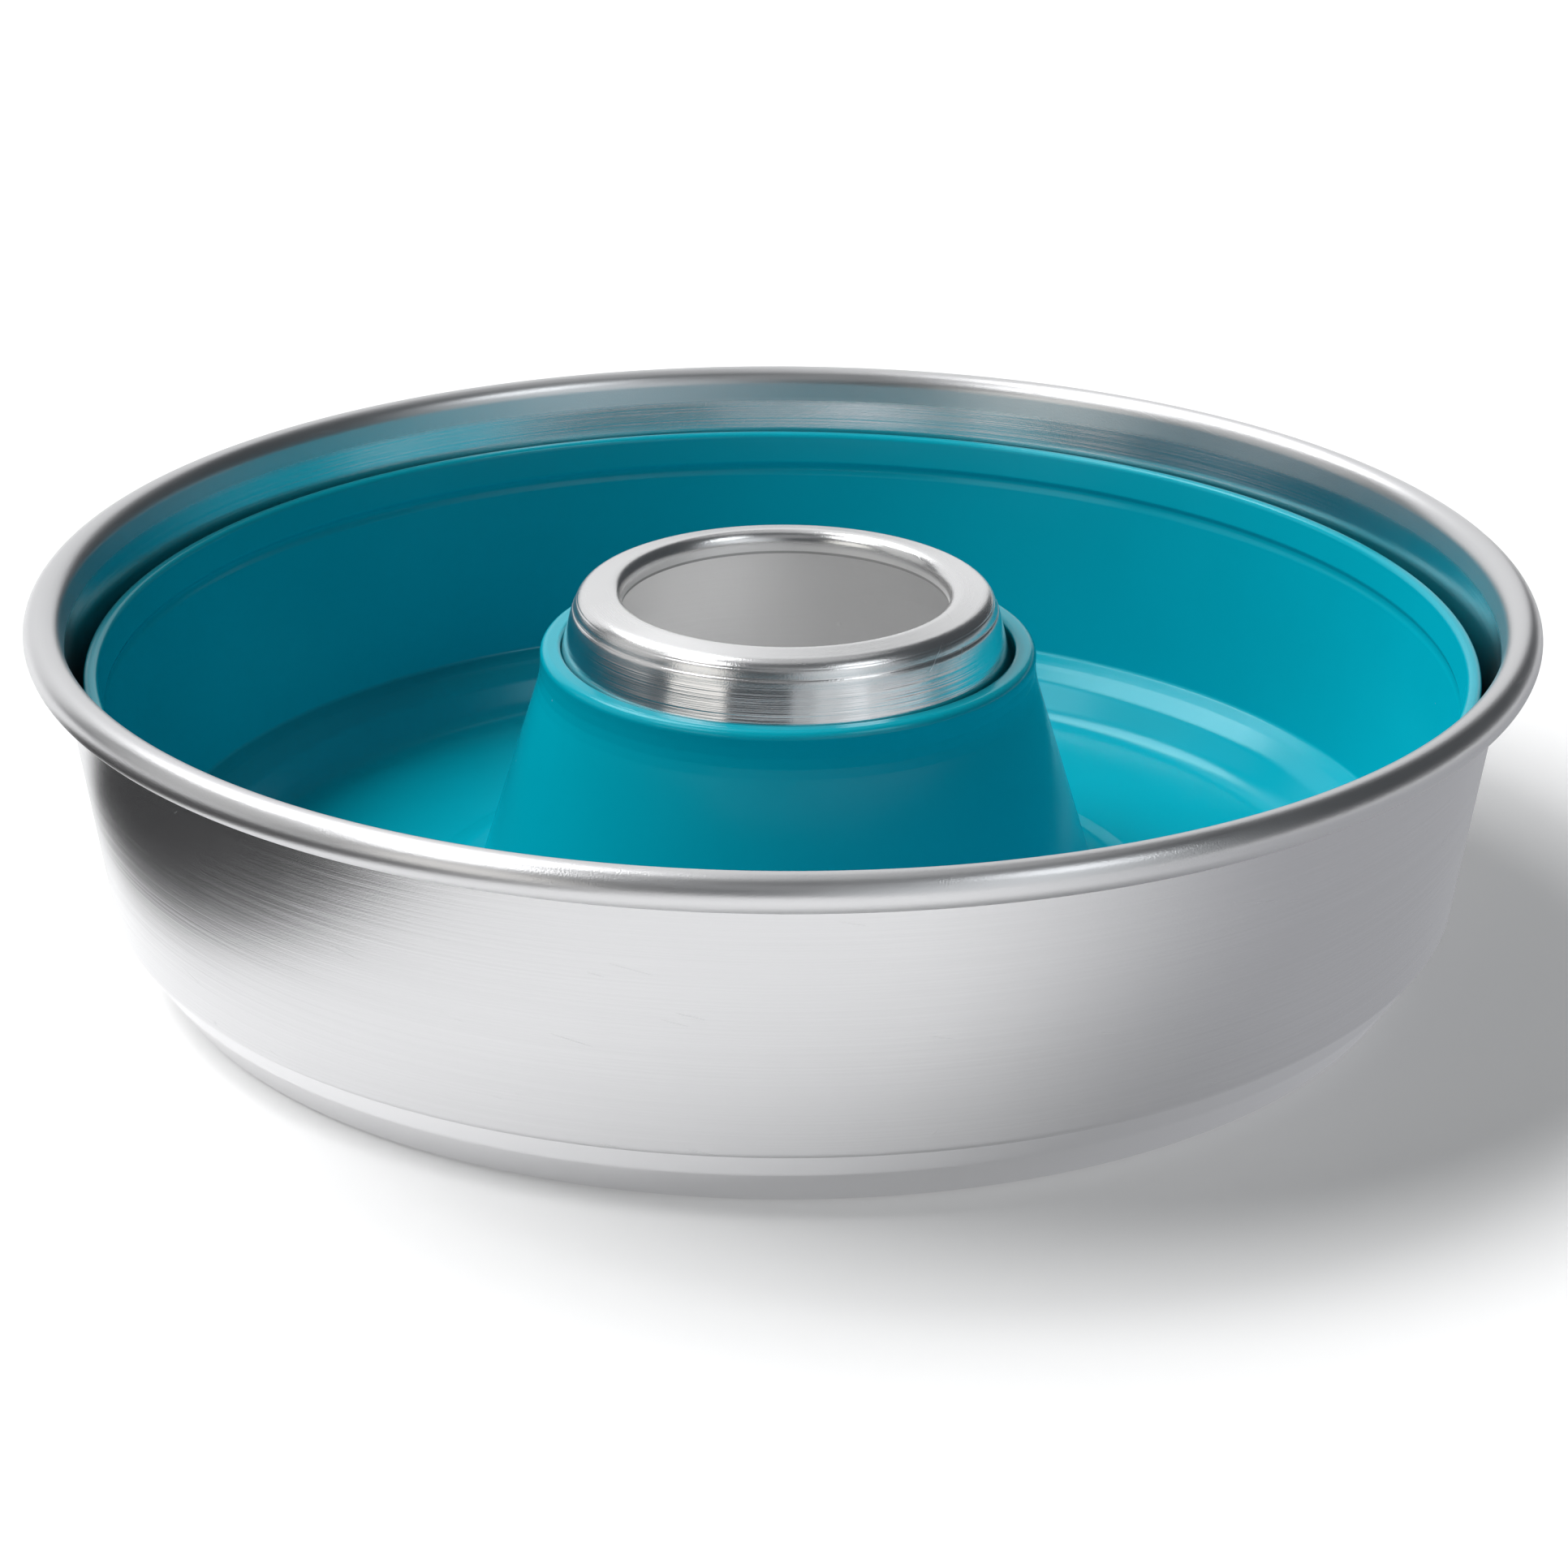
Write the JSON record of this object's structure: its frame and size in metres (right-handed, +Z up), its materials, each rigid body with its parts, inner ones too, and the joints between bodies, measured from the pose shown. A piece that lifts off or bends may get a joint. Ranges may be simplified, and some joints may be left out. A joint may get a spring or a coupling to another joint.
{
  "type": "angel food cake pan",
  "caption": "Round aluminium cake pan with a rolled rim and an open centre tube, and a loose silicone liner that lifts out of it.",
  "frame": {"origin": "centre of the flat face that the pan rests on", "axes": "+Z up along the pan's axis, +Y away from the viewer of the picture, +X to the viewer's right"},
  "size_m": [0.26, 0.26, 0.063],
  "materials": {
    "pan_aluminium": "satin, with fine spinning lines round the wall",
    "tube_aluminium": "bright drawn side, satin top face",
    "teal_silicone": "satin moulded silicone"
  },
  "bodies": {
    "pan": {"pan_body": "pan_aluminium", "centre_tube": "tube_aluminium"},
    "liner": {"silicone_liner": "teal_silicone"}
  },
  "joints": [
    {"name": "liner_lift", "type": "slide", "parent": "pan", "child": "liner", "axis": [0, 0, 1], "range_m": [0, 0.09]}
  ]
}
